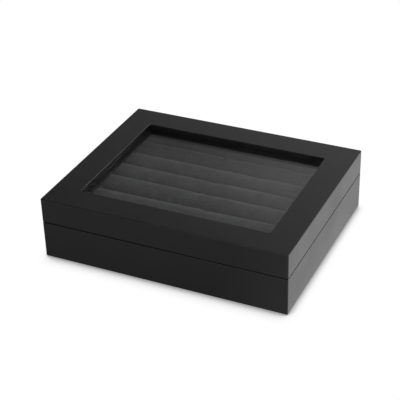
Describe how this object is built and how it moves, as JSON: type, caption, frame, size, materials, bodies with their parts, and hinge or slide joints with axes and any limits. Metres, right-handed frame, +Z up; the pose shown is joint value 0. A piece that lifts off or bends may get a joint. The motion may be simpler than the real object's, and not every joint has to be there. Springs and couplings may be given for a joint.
{
  "type": "cufflink display box",
  "caption": "Black lacquered wooden box with a hinged, glazed lid over padded fabric rolls that hold pairs of cufflinks.",
  "frame": {"origin": "centre of the carcass's footprint, on the surface that the felt under the base rests on", "axes": "+X along the box's length, +Y from the front to the hinged back, +Z up"},
  "size_m": [0.203, 0.1689, 0.0525],
  "materials": {
    "black_lacquer": "satin",
    "clear_glass": "gloss",
    "black_velvet": "matte",
    "black_lining": "matte",
    "grey_foam": "matte",
    "black_felt": "matte",
    "black_card": "matte",
    "hinge_nickel": "satin",
    "bumper_rubber": "matte"
  },
  "bodies": {
    "base": {"base_back_wall": "black_lacquer", "base_bottom_panel": "black_lacquer", "base_felt_pad": "black_felt", "base_front_wall": "black_lacquer", "base_left_wall": "black_lacquer", "base_liner_back": "black_lining", "base_liner_front": "black_lining", "base_liner_left": "black_lining", "base_liner_right": "black_lining", "base_right_wall": "black_lacquer", "hinge_left_base_leaf": "hinge_nickel", "hinge_left_base_screws": "hinge_nickel", "hinge_left_pin": "hinge_nickel", "hinge_right_base_leaf": "hinge_nickel", "hinge_right_base_screws": "hinge_nickel", "hinge_right_pin": "hinge_nickel", "insert_floor": "black_card", "rim_bumpers": "bumper_rubber", "roll_core_1": "grey_foam", "roll_core_2": "grey_foam", "roll_core_3": "grey_foam", "roll_core_4": "grey_foam", "roll_core_5": "grey_foam", "roll_core_6": "grey_foam", "roll_core_7": "grey_foam", "roll_cover_1": "black_velvet", "roll_cover_2": "black_velvet", "roll_cover_3": "black_velvet", "roll_cover_4": "black_velvet", "roll_cover_5": "black_velvet", "roll_cover_6": "black_velvet", "roll_cover_7": "black_velvet"},
    "lid": {"hinge_left_lid_leaf": "hinge_nickel", "hinge_left_lid_screws": "hinge_nickel", "hinge_right_lid_leaf": "hinge_nickel", "hinge_right_lid_screws": "hinge_nickel", "lid_back_wall": "black_lacquer", "lid_front_wall": "black_lacquer", "lid_left_wall": "black_lacquer", "lid_liner_back": "black_lining", "lid_liner_front": "black_lining", "lid_liner_left": "black_lining", "lid_liner_right": "black_lining", "lid_right_wall": "black_lacquer", "lid_top_panel": "black_lacquer", "window_bead_back": "black_lacquer", "window_bead_front": "black_lacquer", "window_bead_left": "black_lacquer", "window_bead_right": "black_lacquer", "window_glass": "clear_glass"}
  },
  "joints": [
    {"name": "lid_hinge", "type": "hinge", "parent": "base", "child": "lid", "pos_m": [0, 0.0846, 0.032], "axis": [-1, 0, 0], "range_deg": [0, 100]}
  ]
}
